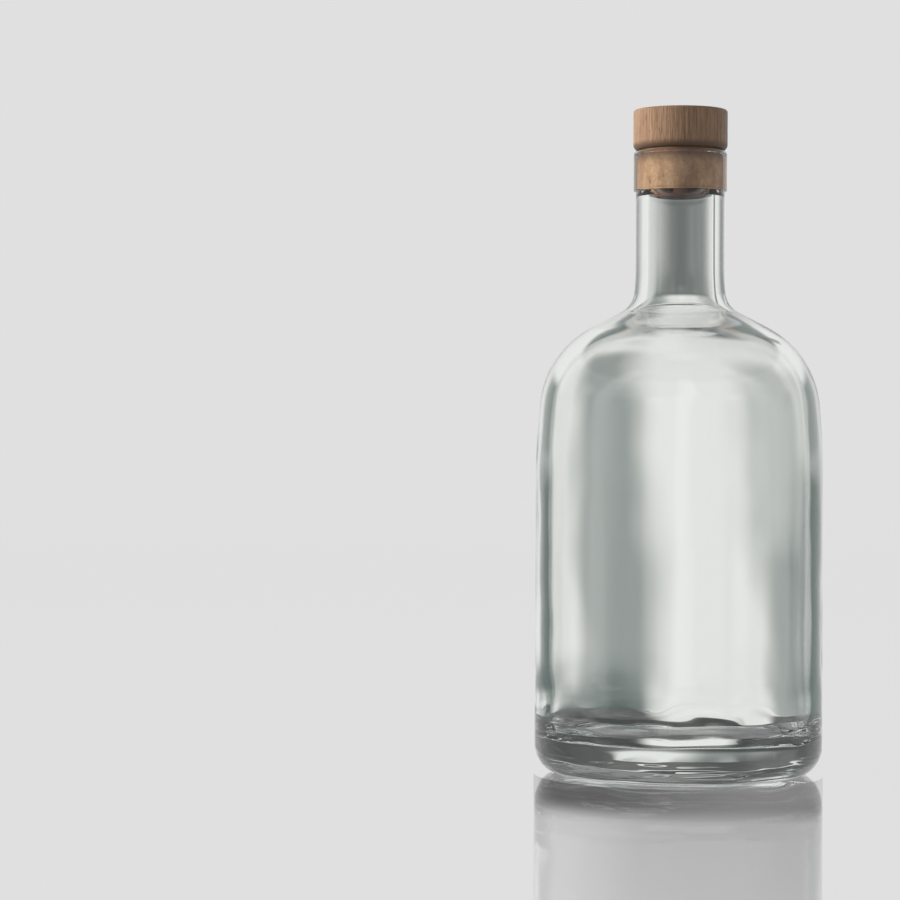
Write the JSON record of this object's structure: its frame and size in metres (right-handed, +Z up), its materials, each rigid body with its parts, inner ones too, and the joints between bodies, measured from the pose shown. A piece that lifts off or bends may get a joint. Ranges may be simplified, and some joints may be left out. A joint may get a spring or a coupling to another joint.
{
  "type": "glass bottle",
  "caption": "Round clear glass bottle with a domed shoulder, collared neck and heavy floor, closed by a cork stopper with a turned wooden head.",
  "frame": {"origin": "centre of the foot, on the surface that the bottle stands on", "axes": "+Z up along the bottle's axis, from the foot to the stopper's head"},
  "size_m": [0.0936, 0.0934, 0.2161],
  "materials": {
    "glass": "clear and polished, faintly grey-green",
    "wood": "turned, satin, straight grain",
    "cork": "matt pressed cork"
  },
  "bodies": {
    "root": {"bottle_glass": "glass", "stopper_head": "wood", "stopper_cork": "cork"}
  },
  "joints": []
}
